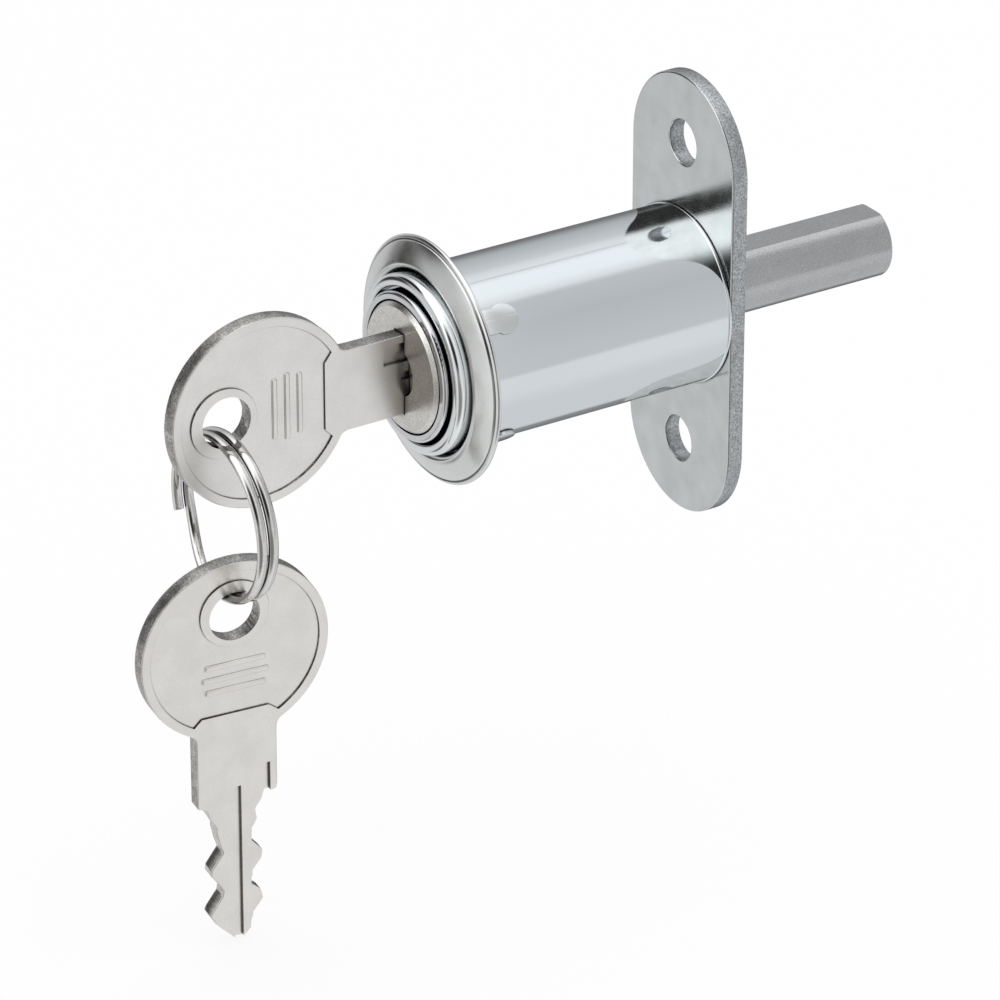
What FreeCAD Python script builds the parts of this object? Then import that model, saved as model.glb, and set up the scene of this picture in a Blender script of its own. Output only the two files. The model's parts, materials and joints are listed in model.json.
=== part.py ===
import FreeCAD, Part
import math
import os
import Sketcher

# Furniture lock: a push-in plunger lock with a round bolt, a plate on the back and two flat keys.
# +Y runs along the lock, from the key side to the bolt. +Z is up, along the plate's long side.
# The origin is the middle of the plate's front face, which bears on the back of the furniture panel.
# Lengths are in millimetres and angles in degrees.

SIZES = {
    # Tube that goes through the panel
    "tube_radius": 9.8,
    "tube_wall": 0.9,
    "tube_length": 34.0,
    "tube_lip_width": 1.24,
    "tube_lip_depth": 2.8,
    "tube_edge_round": 0.75,
    "stake_width": 5.0,
    "stake_thickness": 0.5,
    "stake_inset": 0.35,
    "stake_head": 0.25,
    # Plate with two screw holes
    "plate_inset": 0.25,
    "plate_length": 50.6,
    "plate_drop": 0.3,
    "plate_thickness": 1.9,
    "plate_edge_round": 0.25,
    "screw_spacing": 34.8,
    "screw_hole_radius": 2.5,
    # Rosette that trims the hole in the panel
    "rosette_overhang": 3.7,
    "rosette_set_back": 1.3,
    "rosette_dish_depth": 1.45,
    "rosette_sheet": 0.3,
    "rosette_lip_width": 0.65,
    "rosette_gap": 0.07,
    "collar_length": 1.9,
    "tab_reach": 5.45,
    "tab_bulb_radius": 1.65,
    "tab_waist": 2.7,
    "tab_root": 4.6,
    "tab_turn": 45.0,
    # Plunger that is pushed in to lock
    "nose_gap": 0.4,
    "nose_proud": 0.7,
    "nose_edge_round": 0.35,
    "plunger_travel": 10.0,
    "web_thickness": 4.5,
    "plunger_side_gap": 0.08,
    # Round bolt
    "bolt_radius": 4.0,
    "bolt_reach": 25.05,
    "bolt_flat_height": 3.6,
    "bolt_step_gap": 0.3,
    "bolt_end_round": 0.25,
    "shank_radius": 3.75,
    "shank_gap": 0.05,
    "bolt_hole_gap": 0.05,
    "pin_radius": 1.0,
    "pin_gap": 0.02,
    "pin_inset": 0.2,
    # Return spring round the bolt's shank
    "spring_radius": 6.2,
    "spring_wire": 0.4,
    "spring_pitch": 1.4,
    "spring_end_gap": 0.05,
    # Plug that the key turns
    "nose_wall": 0.94,
    "plug_gap": 0.1,
    "mouth_gap": 0.12,
    "mouth_depth": 1.2,
    "plug_proud": 0.4,
    "plug_bevel": 0.4,
    "plug_back_wall": 0.9,
    "face_recess_radius": 2.65,
    "face_recess_depth": 0.6,
    "face_recess_drop": 0.4,
    "keyway_gap": 0.1,
    # Wafers, their slots and their springs
    "wafer_count": 6,
    "wafer_width": 6.0,
    "wafer_thickness": 1.5,
    "wafer_gap": 0.05,
    "wafer_edge_gap": 0.12,
    "wafer_travel": 0.5,
    "wafer_apart": 1.0,
    "key_tip_gap": 0.65,
    "wafer_window_half": 4.5,
    "groove_gap": 0.05,
    "wing_reach": 1.7,
    "wing_height": 1.0,
    "wing_drop": 0.2,
    "small_spring_radius": 0.55,
    "small_spring_wire": 0.125,
    "small_spring_turns": 3.0,
    "small_spring_length": 2.7,
    # Latch that the plug throws
    "latch_width": 6.0,
    "latch_thickness": 2.4,
    "latch_travel": 1.0,
    "latch_top": 3.9,
    "latch_end_inset": 0.12,
    "latch_gap": 0.05,
    "latch_play": 0.3,
    "cam_pin_radius": 0.9,
    "cam_slot_gap": 0.05,
    "latch_spring_radius": 0.75,
    "latch_spring_wire": 0.17,
    "window_gap": 0.25,
    # Keys
    "key_thickness": 1.85,
    "bow_radius": 10.6,
    "ring_hole_radius": 2.85,
    "ring_hole_offset": 4.25,
    "boss_radius": 3.85,
    "boss_shift": 0.3,
    "bow_rim": 1.0,
    "bow_recess": 0.2,
    "bow_step": 7.45,
    "bow_step_low": 3.9,
    "bow_step_high": 3.7,
    "bow_edge_round": 0.15,
    "neck_low": 4.6,
    "neck_high": 4.55,
    "neck_end": 18.4,
    "neck_corner": 0.6,
    "key_drop": 0.35,
    "key_length": 35.7,
    "tip_half": 0.75,
    "cut_pitch": 2.55,
    "cut_flat": 0.75,
    "first_cut": 21.8,
    "high_cut_shift": 0.75,
    "tab_notch": 3.15,
    "side_groove_depth": 0.45,
    "side_groove_low": 1.5,
    "side_groove_high": 3.75,
    "side_groove_start": 14.5,
    "centre_groove_low": 0.6,
    "centre_groove_high": 0.38,
    "centre_groove_start": 16.6,
    "key_depth": 21.25,
    # Split ring and the key that hangs on it
    "ring_mean_radius": 8.9,
    "ring_wire": 0.45,
    "ring_wire_gap": 0.42,
    "ring_hole_gap": 0.15,
    "ring_cross_angle": 64.0,
    "ring_start_angle": 198.0,
    "spare_offset": 0.95,
    "spare_yaw": -6.7,
    "spare_pitch": 2.3,
    "spare_roll": -89.2,
}

# Heights of the blade's edges at its cuts, below and above the middle of the bow
LOW_CUTS = (2.55, 1.95, 3.25, 1.95, 3.4)
HIGH_CUTS = (2.2, 1.5, 2.85, 1.4, 2.85, 1.25)
for side_name, cuts in (("low", LOW_CUTS), ("high", HIGH_CUTS)):
    for count, height in enumerate(cuts):
        SIZES["%s_cut_%s" % (side_name, "abcdef"[count])] = height

TINY = 1e-6
FULL_TURN = 360.0
CUT_PAST = 1.0

doc = FreeCAD.newDocument("FurnitureLock")
sheet = doc.addObject("Spreadsheet::Sheet", "Sizes")
for row, (name, number) in enumerate(SIZES.items(), start=1):
    sheet.set("A%d" % row, name)
    sheet.set("B%d" % row, str(number))
    sheet.setAlias("B%d" % row, name)
doc.recompute()


class Size:
    """A number together with the sheet expression that it comes from."""

    def __init__(self, value, text):
        self.value = value
        self.text = text

    def __add__(self, other):
        other = sized(other)
        return Size(self.value + other.value, "(%s + %s)" % (self.text, other.text))

    def __sub__(self, other):
        other = sized(other)
        return Size(self.value - other.value, "(%s - %s)" % (self.text, other.text))

    def __mul__(self, other):
        other = sized(other)
        return Size(self.value * other.value, "(%s * %s)" % (self.text, other.text))

    def __truediv__(self, other):
        other = sized(other)
        return Size(self.value / other.value, "(%s / %s)" % (self.text, other.text))

    def __neg__(self):
        return Size(-self.value, "(0 - %s)" % self.text)

    __radd__ = __add__

    def __rmul__(self, other):
        return self * other

    def __rsub__(self, other):
        return sized(other) - self


def sized(number):
    """Return a Size for a plain number, or the Size itself."""
    if isinstance(number, Size):
        return number
    return Size(float(number), repr(float(number)))


def size(name):
    """Return the sheet's value of this name."""
    return Size(SIZES[name], "Sizes." + name)


def root(number):
    """Return the square root of a Size."""
    return Size(math.sqrt(number.value), "sqrt(%s)" % number.text)


def larger(one, other):
    """Return the larger of two Sizes."""
    return Size(max(one.value, other.value), "max(%s; %s)" % (one.text, other.text))


def chord(radius, across):
    """Return how far from the centre a chord lies that is reached at this distance across."""
    return root(radius * radius - across * across)


def bind(thing, prop, number):
    """Tie a property of a document object to the sheet."""
    thing.setExpression(prop, sized(number).text)


# Places along the lock that several pieces share, from its front to its back
tube_radius = size("tube_radius")
tube_front = -size("tube_length")
bore_radius = tube_radius - size("tube_wall")
lip_radius = tube_radius - size("tube_lip_width")
nose_radius = lip_radius - size("nose_gap")
collar_radius = bore_radius - size("plunger_side_gap")
lip_back = tube_front + size("tube_lip_depth")
plunger_front = tube_front - size("nose_proud")
collar_front = lip_back + size("plunger_travel")
plug_bore = nose_radius - size("nose_wall")
plug_radius = plug_bore - size("plug_gap")
plug_face = plunger_front - size("plug_proud")
half_key = size("key_thickness") / 2
key_hole_y = plug_face - size("key_depth")
key_tip = key_hole_y + size("ring_hole_offset") + size("key_length")
blade_z = -size("key_drop")
half_wafer_thickness = size("wafer_thickness") / 2
first_wafer_y = key_hole_y + size("ring_hole_offset") + size("first_cut")
last_wafer_y = first_wafer_y + size("cut_pitch") * (SIZES["wafer_count"] - 1)
last_wafer_clear = last_wafer_y + half_wafer_thickness + size("wafer_apart")
retainer_y = larger(key_tip + size("key_tip_gap"), last_wafer_clear) + half_wafer_thickness
plug_rear = retainer_y + half_wafer_thickness + size("wafer_gap") + size("plug_back_wall")
latch_front = plug_rear + size("latch_play")
latch_back = latch_front + size("latch_thickness")
latch_y = (latch_back + latch_front) / 2
web_front = latch_back + size("latch_play")
plunger_rear = web_front + size("web_thickness")
pin_y = (plunger_rear + web_front) / 2
wafer_radius = plug_radius - size("wafer_edge_gap")
groove_radius = wafer_radius + size("wafer_travel") + size("groove_gap")
half_wafer = size("wafer_width") / 2
half_slot = half_wafer + size("wafer_gap")
slot_thickness = size("wafer_thickness") + size("wafer_gap") * 2
wing_out = half_wafer + size("wing_reach")
wing_low = -size("wing_drop")
spring_seat = wing_low - size("small_spring_length")
small_spring_x = half_wafer + size("wing_reach") / 2 + size("wafer_gap")


# Helpers for bodies and sketches
def new_body(name):
    """Start a body whose label is the node's name."""
    body = doc.addObject("PartDesign::Body", name)
    body.Label = name
    return body


def origin_part(body, role):
    """Return one of the body's own origin planes or axes."""
    for feature in body.Origin.OriginFeatures:
        if feature.Role == role:
            return feature
    raise ValueError(role)


def new_sketch(body, role, offset=None):
    """Attach a sketch to an origin plane, moved by a Size along the plane's normal."""
    sketch = body.newObject("Sketcher::SketchObject", body.Name + "_sketch")
    sketch.AttachmentSupport = [(origin_part(body, role), "")]
    sketch.MapMode = "FlatFace"
    if offset is not None:
        bind(sketch, "AttachmentOffset.Base.z", offset)
    return sketch


def fix_point(sketch, item, end, place):
    """Hold a point of the sketch at two distances from the sketch's origin."""
    for kind, axis, number in (("DistanceX", -2, place[0]), ("DistanceY", -1, place[1])):
        number = sized(number)
        if abs(number.value) < TINY:
            sketch.addConstraint(Sketcher.Constraint("PointOnObject", item, end, axis))
        else:
            index = sketch.addConstraint(Sketcher.Constraint(kind, -1, 1, item, end, number.value))
            bind(sketch, "Constraints[%d]" % index, number)


def arc_between(start, finish, radius, side):
    """Return an arc that bulges left (side 1) or right (-1) of the way there, or 2 and -2 for the long way."""
    half = (finish - start).Length / 2
    rise = math.sqrt(max(radius * radius - half * half, 0.0))
    across = finish - start
    left = FreeCAD.Vector(-across.y, across.x, 0).normalize()
    inward = -rise if side in (1, -2) else rise
    centre = (start + finish) / 2 + left * inward
    low, high = (finish, start) if side > 0 else (start, finish)
    angles = [math.atan2(end.y - centre.y, end.x - centre.x) for end in (low, high)]
    circle = Part.Circle(centre, FreeCAD.Vector(0, 0, 1), radius)
    return Part.ArcOfCircle(circle, angles[0], angles[1])


def draw_loop(sketch, points):
    """Draw a closed loop; a point of four values is reached by an arc with a radius and a side."""
    corners = [FreeCAD.Vector(sized(p[0]).value, sized(p[1]).value, 0) for p in points]
    items = []
    radii = []
    for count, point in enumerate(points):
        start = corners[count - 1]
        finish = corners[count]
        ends = (1, 2)
        if len(point) == 4:
            item = sketch.addGeometry(arc_between(start, finish, sized(point[2]).value, point[3]), False)
            radii.append((item, point[2]))
            ends = (2, 1) if point[3] > 0 else (1, 2)
        else:
            item = sketch.addGeometry(Part.LineSegment(start, finish), False)
        items.append((item, ends))
    for count, (item, ends) in enumerate(items):
        other, other_ends = items[(count + 1) % len(items)]
        sketch.addConstraint(Sketcher.Constraint("Coincident", item, ends[1], other, other_ends[0]))
        fix_point(sketch, item, ends[1], points[count])
    for item, radius in radii:
        index = sketch.addConstraint(Sketcher.Constraint("Radius", item, sized(radius).value))
        bind(sketch, "Constraints[%d]" % index, radius)


def draw_circle(sketch, across, up, radius):
    """Draw a circle whose centre and radius come from the sheet."""
    centre = FreeCAD.Vector(sized(across).value, sized(up).value, 0)
    item = sketch.addGeometry(Part.Circle(centre, FreeCAD.Vector(0, 0, 1), sized(radius).value), False)
    fix_point(sketch, item, 3, (across, up))
    index = sketch.addConstraint(Sketcher.Constraint("Radius", item, sized(radius).value))
    bind(sketch, "Constraints[%d]" % index, radius)


def box_points(left, right, low, high):
    """Return the corners of an upright rectangle."""
    return [(left, low), (right, low), (right, high), (left, high)]


def volume_now(body):
    """Recompute and return the body's volume."""
    doc.recompute()
    return body.Shape.Volume if not body.Shape.isNull() else 0.0


def pad(body, sketch, length, both=False, back=False):
    """Add material along the sketch's normal, both ways or backwards."""
    before = volume_now(body)
    feature = body.newObject("PartDesign::Pad", body.Name + "_pad")
    feature.Profile = sketch
    bind(feature, "Length", length)
    feature.SideType = "Symmetric" if both else "One side"
    feature.Reversed = back
    body.Tip = feature
    if volume_now(body) <= before:
        raise RuntimeError("nothing added to " + body.Label + ": " + feature.getStatusString())
    return feature


def pocket(body, sketch, length, both=False, back=False):
    """Remove material against the sketch's normal, both ways or backwards."""
    before = volume_now(body)
    feature = body.newObject("PartDesign::Pocket", body.Name + "_pocket")
    feature.Profile = sketch
    bind(feature, "Length", length)
    feature.SideType = "Symmetric" if both else "One side"
    feature.Reversed = back
    body.Tip = feature
    if volume_now(body) >= before:
        raise RuntimeError("nothing cut from " + body.Label + ": " + feature.getStatusString())
    return feature


def turn(body, points, cut=False):
    """Turn a profile of radius and place along the lock about the lock's axis."""
    before = volume_now(body)
    sketch = new_sketch(body, "XY_Plane")
    draw_loop(sketch, points)
    kind = "Groove" if cut else "Revolution"
    feature = body.newObject("PartDesign::" + kind, body.Name + "_" + kind.lower())
    feature.Profile = sketch
    feature.ReferenceAxis = (sketch, ["V_Axis"])
    feature.Angle = FULL_TURN
    body.Tip = feature
    after = volume_now(body)
    if (after >= before) if cut else (after <= before):
        raise RuntimeError("turning changed nothing in " + body.Label + ": " + feature.getStatusString())
    return feature


def repeat_round(body, features, count):
    """Repeat features round the lock's axis."""
    pattern = body.newObject("PartDesign::PolarPattern", body.Name + "_pattern")
    pattern.Originals = features
    pattern.Axis = (origin_part(body, "Y_Axis"), [""])
    pattern.Angle = FULL_TURN
    pattern.Occurrences = count
    body.Tip = pattern
    doc.recompute()
    return pattern


def round_edges(body, radius, wanted):
    """Round the edges of the body that the test picks."""
    doc.recompute()
    tip = body.Tip
    names = ["Edge%d" % (n + 1) for n, edge in enumerate(tip.Shape.Edges) if wanted(edge)]
    if not names:
        raise RuntimeError("no edge to round on " + body.Label)
    fillet = body.newObject("PartDesign::Fillet", body.Name + "_fillet")
    fillet.Base = (tip, names)
    bind(fillet, "Radius", radius)
    body.Tip = fillet
    doc.recompute()
    return fillet


def is_ring(edge, radius, along):
    """Tell whether an edge is a circle about the lock's axis at this radius and place."""
    curve = edge.Curve
    if not isinstance(curve, Part.Circle) or abs(curve.Radius - radius.value) > 1e-4:
        return False
    return abs(curve.Center.y - along.value) < 1e-4 and abs(curve.Center.x) + abs(curve.Center.z) < 1e-4


def draw_flatted_circle(sketch, radius, flat):
    """Draw a round section with one flat on top."""
    half = chord(radius, flat)
    draw_loop(sketch, [(-half, flat), (half, flat, radius, -2)])


# Housing: tube, plate and rosette
def make_tube():
    """Tube with an inner lip at the front, stakes at the back and two latch windows below."""
    body = new_body("housing_tube")
    turn(body, [
        (lip_radius, tube_front),
        (tube_radius, tube_front),
        (tube_radius, 0),
        (bore_radius, 0),
        (bore_radius, lip_back),
        (lip_radius, lip_back),
    ])
    stakes = new_sketch(body, "XZ_Plane")
    stake_out = tube_radius - size("stake_inset")
    stake_in = stake_out - size("stake_thickness")
    half = size("stake_width") / 2
    draw_loop(stakes, box_points(-half, half, stake_in, stake_out))
    stake = pad(body, stakes, size("plate_thickness") + size("stake_head"), back=True)
    repeat_round(body, [stake], 2)
    half_across = size("latch_width") / 2 + size("window_gap")
    half_along = size("latch_thickness") / 2 + size("window_gap")
    for shift in (0, 1):
        middle = latch_y - size("plunger_travel") * shift
        window = new_sketch(body, "XY_Plane")
        draw_loop(window, box_points(-half_across, half_across, middle - half_along, middle + half_along))
        pocket(body, window, tube_radius + CUT_PAST)
    round_edges(body, size("tube_edge_round"), lambda edge: is_ring(edge, tube_radius, tube_front))
    return body


def make_plate():
    """Long plate with round ends, two screw holes, slots for the stakes and the bolt's flatted hole."""
    body = new_body("mounting_plate")
    half = tube_radius - size("plate_inset")
    straight = size("plate_length") / 2 - half
    middle = new_sketch(body, "XZ_Plane")
    low = -straight - size("plate_drop")
    high = straight - size("plate_drop")
    draw_loop(middle, box_points(-half, half, low, high))
    pad(body, middle, size("plate_thickness"), back=True)
    for height in (low, high):
        end = new_sketch(body, "XZ_Plane")
        draw_circle(end, 0, height, half)
        pad(body, end, size("plate_thickness"), back=True)
    round_edges(body, size("plate_edge_round"), lambda edge: abs(edge.BoundBox.YLength) < TINY)
    screws = new_sketch(body, "XZ_Plane")
    for side in (-1, 1):
        draw_circle(screws, 0, size("screw_spacing") * side / 2, size("screw_hole_radius"))
    pocket(body, screws, size("plate_thickness") * 2, both=True)
    hole = new_sketch(body, "XZ_Plane")
    gap = size("bolt_hole_gap")
    draw_flatted_circle(hole, size("bolt_radius") + gap, size("bolt_flat_height") + gap)
    pocket(body, hole, size("plate_thickness") * 2, both=True)
    slots = new_sketch(body, "XZ_Plane")
    half_slot_width = size("stake_width") / 2 + gap
    slot_out = tube_radius - size("stake_inset") + gap
    slot_in = slot_out - size("stake_thickness") - gap * 2
    draw_loop(slots, box_points(-half_slot_width, half_slot_width, slot_in, slot_out))
    draw_loop(slots, box_points(-half_slot_width, half_slot_width, -slot_out, -slot_in))
    pocket(body, slots, size("plate_thickness") * 2, both=True)
    return body


def make_rosette():
    """Dished trim ring with a short collar and four spring tabs that grip the tube."""
    body = new_body("rosette")
    sheet_thickness = size("rosette_sheet")
    inner = tube_radius + size("rosette_gap")
    outer = inner + sheet_thickness
    front = tube_front + size("rosette_set_back")
    lip = tube_radius + size("rosette_lip_width")
    rim = tube_radius + size("rosette_overhang")
    rim_front = front + size("rosette_dish_depth")
    collar_back = front + size("collar_length")
    roll = lip - inner
    dish_radius = (rim - lip) * 1.9
    turn(body, [
        (inner, collar_back),
        (inner, front + roll),
        (lip, front, roll, -1),
        (rim - sheet_thickness / 2, rim_front, dish_radius, -1),
        (rim, rim_front + sheet_thickness / 2, sheet_thickness / 2, -1),
        (rim - sheet_thickness / 2, rim_front + sheet_thickness, sheet_thickness / 2, -1),
        (outer + sheet_thickness, front + sheet_thickness * 2, dish_radius, 1),
        (outer, front + sheet_thickness * 3),
        (outer, collar_back),
    ])
    waist = size("tab_waist") / 2
    foot = size("tab_root") / 2
    tab_end = collar_back + size("tab_reach")
    bulb_y = tab_end - size("tab_bulb_radius")
    deep = inner - size("tab_bulb_radius")
    shaft = new_sketch(body, "YZ_Plane", deep)
    overlap = sheet_thickness
    draw_loop(shaft, [
        (collar_back - overlap, -foot),
        (collar_back, -foot),
        (collar_back + foot - waist, -waist, foot - waist, 1),
        (bulb_y, -waist),
        (bulb_y, waist),
        (collar_back + foot - waist, waist),
        (collar_back, foot, foot - waist, 1),
        (collar_back - overlap, foot),
    ])
    length = outer - deep
    shaft_pad = pad(body, shaft, length)
    bulb = new_sketch(body, "YZ_Plane", deep)
    draw_circle(bulb, bulb_y, 0, size("tab_bulb_radius"))
    bulb_pad = pad(body, bulb, length)
    repeat_round(body, [shaft_pad, bulb_pad], 4)
    turn(body, [
        (inner - size("tab_bulb_radius") * 2, front),
        (inner, front),
        (inner, tab_end + CUT_PAST),
        (inner - size("tab_bulb_radius") * 2, tab_end + CUT_PAST),
    ], cut=True)
    turn(body, [
        (outer, collar_back),
        (outer + CUT_PAST, collar_back),
        (outer + CUT_PAST, tab_end + CUT_PAST),
        (outer, tab_end + CUT_PAST),
    ], cut=True)
    body.Placement.Rotation = FreeCAD.Rotation(FreeCAD.Vector(0, 1, 0), SIZES["tab_turn"])
    return body


# Plunger: barrel, bolt, pin and the springs that it carries
def make_plunger():
    """Barrel that slides in the tube, with the plug's bore, the latch's channel and the bolt's web."""
    body = new_body("plunger_body")
    web_hole = size("shank_radius") + size("shank_gap")
    mouth = plug_bore + size("mouth_gap")
    mouth_back = plunger_front + size("mouth_depth")
    turn(body, [
        (plug_bore, mouth_back),
        (mouth, mouth_back),
        (mouth, plunger_front),
        (nose_radius, plunger_front),
        (nose_radius, collar_front),
        (collar_radius, collar_front),
        (collar_radius, plunger_rear),
        (web_hole, plunger_rear),
        (web_hole, web_front),
        (plug_bore, web_front),
    ])
    round_edges(body, size("nose_edge_round"), lambda edge: is_ring(edge, nose_radius, plunger_front))
    channel = new_sketch(body, "XZ_Plane", -(retainer_y - slot_thickness / 2))
    half = half_slot + size("groove_gap")
    reach = chord(groove_radius, half)
    draw_loop(channel, [(-half, 0), (half, 0), (half, reach), (-half, reach, groove_radius, -1)])
    depth = retainer_y - slot_thickness / 2 - first_wafer_y + slot_thickness
    groove = pocket(body, channel, depth, back=True)
    repeat_round(body, [groove], 4)
    turn(body, [
        (plug_radius, retainer_y - slot_thickness / 2),
        (groove_radius, retainer_y - slot_thickness / 2),
        (groove_radius, retainer_y + slot_thickness / 2),
        (plug_radius, retainer_y + slot_thickness / 2),
    ], cut=True)
    latch_way = new_sketch(body, "XY_Plane")
    across = size("latch_width") / 2 + size("latch_gap")
    gap = size("latch_gap")
    draw_loop(latch_way, box_points(-across, across, latch_front - gap, latch_back + gap))
    pocket(body, latch_way, tube_radius)
    pin_hole = new_sketch(body, "YZ_Plane")
    draw_circle(pin_hole, pin_y, 0, size("pin_radius"))
    pocket(body, pin_hole, tube_radius * 2, both=True)
    return body


def make_bolt():
    """Round rod with one flat on top, thinner inside the plate and in the plunger's web."""
    body = new_body("bolt_rod")
    step = size("plate_thickness") + size("bolt_step_gap")
    end = size("bolt_reach")
    radius = size("bolt_radius")
    thick = new_sketch(body, "XZ_Plane", -step)
    draw_circle(thick, 0, 0, radius)
    pad(body, thick, end - step, back=True)
    round_edges(body, size("bolt_end_round"), lambda edge: is_ring(edge, radius, end))
    thin = new_sketch(body, "XZ_Plane", -step)
    draw_circle(thin, 0, 0, size("shank_radius"))
    pad(body, thin, step - web_front)
    flat = new_sketch(body, "XZ_Plane")
    draw_loop(flat, box_points(-radius, radius, size("bolt_flat_height"), radius + CUT_PAST))
    pocket(body, flat, end * 3, both=True)
    pin_hole = new_sketch(body, "YZ_Plane")
    draw_circle(pin_hole, pin_y, 0, size("pin_radius"))
    pocket(body, pin_hole, tube_radius * 2, both=True)
    return body


def make_pin():
    """Cross pin through the web and the bolt."""
    pin = doc.addObject("Part::Cylinder", "rod_pin")
    pin.Label = "rod_pin"
    half = collar_radius - size("pin_inset")
    bind(pin, "Radius", size("pin_radius") - size("pin_gap"))
    bind(pin, "Height", half * 2)
    bind(pin, "Placement.Base.x", -half)
    bind(pin, "Placement.Base.y", pin_y)
    pin.Placement.Rotation = FreeCAD.Rotation(FreeCAD.Vector(0, 1, 0), 90)
    return pin


# Plug, wafers and latch
def make_plug():
    """Turning plug with the keyway, the wafers' slots and the pin that throws the latch."""
    body = new_body("lock_plug")
    bevel = size("plug_bevel")
    turn(body, [
        (0, plug_face),
        (plug_radius - bevel, plug_face),
        (plug_radius, plug_face + bevel),
        (plug_radius, plug_rear),
        (0, plug_rear),
    ])
    recess = new_sketch(body, "XZ_Plane", -plug_face)
    draw_circle(recess, 0, -size("face_recess_drop"), size("face_recess_radius"))
    pocket(body, recess, size("face_recess_depth"))
    gap = size("keyway_gap")
    half = half_key + gap
    neck_slot = new_sketch(body, "XZ_Plane", -plug_face)
    low = blade_z - size("neck_low") - gap
    high = blade_z + size("neck_high") + gap
    draw_loop(neck_slot, box_points(-half, half, low, high))
    neck_reach = key_hole_y + size("ring_hole_offset") + size("neck_end") - plug_face
    pocket(body, neck_slot, neck_reach + gap * 2)
    keyway = new_sketch(body, "XZ_Plane", -plug_face)
    blade_low = blade_z - widest(LOW_CUTS, "low") - gap
    blade_high = blade_z + size("tab_notch") + gap
    draw_loop(keyway, box_points(-half, half, blade_low, blade_high))
    blade_reach = key_hole_y + size("ring_hole_offset") + size("key_length") - plug_face
    pocket(body, keyway, blade_reach + gap * 2)
    places = [(wafer_y(count), wafer_side(count)) for count in range(SIZES["wafer_count"])]
    for along, side in places + [(retainer_y, 1)]:
        low_y = along - slot_thickness / 2
        high_y = along + slot_thickness / 2
        slot = new_sketch(body, "XY_Plane")
        draw_loop(slot, box_points(-half_slot, half_slot, low_y, high_y))
        pocket(body, slot, plug_radius * 2 + CUT_PAST, both=True)
        nest = new_sketch(body, "XY_Plane", spring_seat * side)
        wing_edge = wing_out + size("wafer_gap") * 2
        draw_loop(nest, box_points(half_wafer * side, wing_edge * side, low_y, high_y))
        pocket(body, nest, plug_radius * 2, back=(side > 0))
    pin = new_sketch(body, "XZ_Plane", -plug_rear)
    draw_circle(pin, size("latch_travel") / 2, size("latch_travel") / 2, size("cam_pin_radius"))
    pad(body, pin, size("latch_thickness") + size("latch_play"), back=True)
    return body


def widest(cuts, side):
    """Return the sheet's value of the blade edge that stands out most."""
    names = ["%s_cut_%s" % (side, "abcdef"[count]) for count in range(len(cuts))]
    return size(max(names, key=lambda name: SIZES[name]))


def wafer_y(count):
    """Return where a wafer lies along the lock."""
    return first_wafer_y + size("cut_pitch") * count


def wafer_side(count):
    """Return 1 for a wafer whose spring lifts it and -1 for one that is turned over."""
    return 1 if count % 2 == 0 else -1


def make_wafer(name, along, side, window, lift):
    """Flat plate with round ends and a wing on its spring; side -1 turns it over."""
    body = new_body(name)
    top = chord(wafer_radius, half_wafer)
    outline = new_sketch(body, "XZ_Plane")
    draw_loop(outline, [
        (-half_wafer, -top),
        (half_wafer, -top, wafer_radius, -1),
        (half_wafer, wing_low),
        (wing_out, wing_low),
        (wing_out, wing_low + size("wing_height")),
        (half_wafer, wing_low + size("wing_height")),
        (half_wafer, top),
        (-half_wafer, top, wafer_radius, -1),
    ])
    if window:
        half = half_key + size("keyway_gap") * 2
        tall = size("wafer_window_half")
        draw_loop(outline, box_points(-half, half, -tall, tall))
    pad(body, outline, size("wafer_thickness"), both=True)
    bind(body, "Placement.Base.y", along)
    bind(body, "Placement.Base.z", sized(lift))
    body.Placement.Rotation = FreeCAD.Rotation(FreeCAD.Vector(0, 1, 0), 0 if side > 0 else 180)
    return body


def make_latch():
    """Sliding latch with a cross slot for the plug's pin and a round end."""
    body = new_body("latch")
    half = size("latch_width") / 2
    end = collar_radius - size("latch_end_inset")
    corner = chord(end, half)
    outline = new_sketch(body, "XZ_Plane", -latch_y)
    draw_loop(outline, [
        (-half, -corner),
        (half, -corner, end, -1),
        (half, size("latch_top")),
        (-half, size("latch_top")),
    ])
    pin = size("latch_travel") / 2
    tall = size("cam_pin_radius") + size("cam_slot_gap")
    swing = size("latch_travel") * math.sqrt(0.5) + tall
    draw_loop(outline, box_points(pin - tall, swing, pin - tall, pin + tall))
    pad(body, outline, size("latch_thickness"), both=True)
    return body


# Wire forms
def biarc(start, start_way, finish, finish_way):
    """Return two arcs that leave one point and reach another in the given directions."""
    across = finish - start
    ways = start_way + finish_way
    bend = 2 * (1 - start_way.dot(finish_way))
    along = across.dot(ways)
    reach = (math.sqrt(along * along + bend * across.dot(across)) - along) / bend
    first = start + start_way * reach
    second = finish - finish_way * reach
    middle = (first + second) / 2
    arcs = []
    for low, corner, high in ((start, first, middle), (middle, second, finish)):
        base = (low + high) / 2
        half_turn = (corner - low).getAngle(high - corner) / 2
        share = math.tan(half_turn / 2) / math.tan(half_turn)
        arcs.append(Part.Arc(low, base + (corner - base) * share, high).toShape())
    return arcs


def wire_form(name, route, stops, radius):
    """Sweep a round wire along a route, with two arcs between one stop and the next."""
    def way(place):
        nudge = 1e-5
        low = max(place - nudge, stops[0])
        high = min(place + nudge, stops[-1])
        return (route(high) - route(low)).normalize()

    edges = []
    for low, high in zip(stops, stops[1:]):
        edges += biarc(route(low), way(low), route(high), way(high))
    path = Part.Wire(edges)
    section = Part.Wire([Part.Circle(route(stops[0]), way(stops[0]), radius).toShape()])
    form = doc.addObject("Part::Feature", name)
    form.Label = name
    form.Shape = path.makePipeShell([section], True, False)
    return form


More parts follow.
